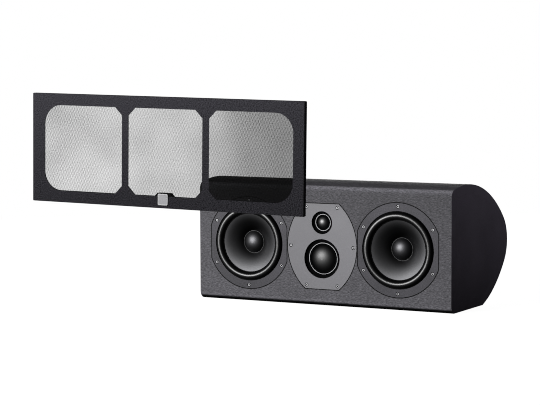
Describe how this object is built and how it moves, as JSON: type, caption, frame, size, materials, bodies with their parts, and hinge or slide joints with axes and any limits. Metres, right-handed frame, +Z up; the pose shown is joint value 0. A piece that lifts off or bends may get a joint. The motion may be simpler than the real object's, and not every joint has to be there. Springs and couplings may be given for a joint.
{
  "type": "center channel speaker",
  "caption": "Wide center channel loudspeaker: D-section cabinet, cone woofers either side of a plate with a dome midrange and tweeter, and its cloth grille shown taken off in front",
  "frame": {"origin": "middle of the flat base that the cabinet stands on", "axes": "+X to the viewer's right as seen from the front, +Y towards the back, +Z up"},
  "size_m": [0.5792, 0.801, 0.4219],
  "materials": {
    "charcoal_veneer": "satin wood-grain wrap",
    "black_end": "satin lacquer",
    "raw_board": "raw board",
    "magnet_disc": "plated",
    "plate_aluminium": "fine satin",
    "black_moulding": "matt",
    "bright_ring": "polished",
    "dome_cloth": "coated cloth",
    "coil": "wound former",
    "motor_steel": "plated",
    "ferrite": "ferrite",
    "dark_screw": "black oxide",
    "circuit_board": "lacquered board",
    "copper_winding": "enamelled wire",
    "film_capacitor": "gloss",
    "ceramic_resistor": "ceramic",
    "wire_sleeve": "flexible sleeve",
    "post_metal": "gold plated",
    "red_knob": "gloss",
    "black_knob": "gloss",
    "grille_board": "black board",
    "grille_cloth": "open weave",
    "badge_metal": "satin",
    "cast_frame": "fine satin coat",
    "rubber_edge": "smooth",
    "cone_pulp": "satin",
    "spider_cloth": "treated cloth"
  },
  "bodies": {
    "cabinet": {"front_baffle": "charcoal_veneer", "bottom_panel": "charcoal_veneer", "cabinet_shell": "charcoal_veneer", "left_end_panel": "black_end", "right_end_panel": "black_end", "left_brace": "raw_board", "right_brace": "raw_board", "baffle_magnets": "magnet_disc", "driver_plate": "plate_aluminium", "midrange_flange": "black_moulding", "midrange_trim_ring": "bright_ring", "midrange_dome": "dome_cloth", "midrange_voice_coil": "coil", "midrange_top_plate": "motor_steel", "midrange_magnet": "ferrite", "midrange_yoke": "motor_steel", "midrange_rear_chamber": "black_moulding", "tweeter_flange": "black_moulding", "tweeter_trim_ring": "bright_ring", "tweeter_dome": "dome_cloth", "tweeter_voice_coil": "coil", "tweeter_top_plate": "motor_steel", "tweeter_magnet": "ferrite", "tweeter_yoke": "motor_steel", "woofer_screws": "dark_screw", "plate_screws": "dark_screw", "crossover_board": "circuit_board", "board_standoffs": "black_moulding", "inductors": "copper_winding", "capacitors": "film_capacitor", "resistors": "ceramic_resistor", "hookup_wires": "wire_sleeve", "terminal_cup": "black_moulding", "binding_posts": "post_metal", "terminal_nuts": "post_metal", "terminal_screws": "dark_screw", "grille_frame": "grille_board", "grille_cloth": "grille_cloth", "grille_badge": "badge_metal", "grille_magnets": "magnet_disc", "left_woofer_basket": "cast_frame", "left_woofer_surround": "rubber_edge", "left_woofer_spider": "spider_cloth", "left_woofer_top_plate": "motor_steel", "left_woofer_magnet": "ferrite", "left_woofer_yoke": "motor_steel", "right_woofer_basket": "cast_frame", "right_woofer_surround": "rubber_edge", "right_woofer_spider": "spider_cloth", "right_woofer_top_plate": "motor_steel", "right_woofer_magnet": "ferrite", "right_woofer_yoke": "motor_steel"},
    "left_cone": {"left_woofer_cone": "cone_pulp", "left_woofer_dust_cap": "cone_pulp", "left_woofer_voice_coil": "coil"},
    "right_cone": {"right_woofer_cone": "cone_pulp", "right_woofer_dust_cap": "cone_pulp", "right_woofer_voice_coil": "coil"},
    "red_knob": {"red_knob": "red_knob"},
    "black_knob": {"black_knob": "black_knob"}
  },
  "joints": [
    {"name": "left_cone_travel", "type": "slide", "parent": "cabinet", "child": "left_cone", "axis": [0, -1, 0], "range_m": [-0.005, 0.005], "stiffness_N_per_m": 1400, "deforming": ["left_woofer_surround", "left_woofer_spider"]},
    {"name": "right_cone_travel", "type": "slide", "parent": "cabinet", "child": "right_cone", "axis": [0, -1, 0], "range_m": [-0.005, 0.005], "stiffness_N_per_m": 1400, "deforming": ["right_woofer_surround", "right_woofer_spider"]},
    {"name": "red_knob_turn", "type": "hinge", "parent": "cabinet", "child": "red_knob", "pos_m": [-0.019, 0.1746, 0.11686], "axis": [0, 1, 0], "continuous": true},
    {"name": "black_knob_turn", "type": "hinge", "parent": "cabinet", "child": "black_knob", "pos_m": [0.019, 0.1746, 0.11686], "axis": [0, 1, 0], "continuous": true}
  ]
}
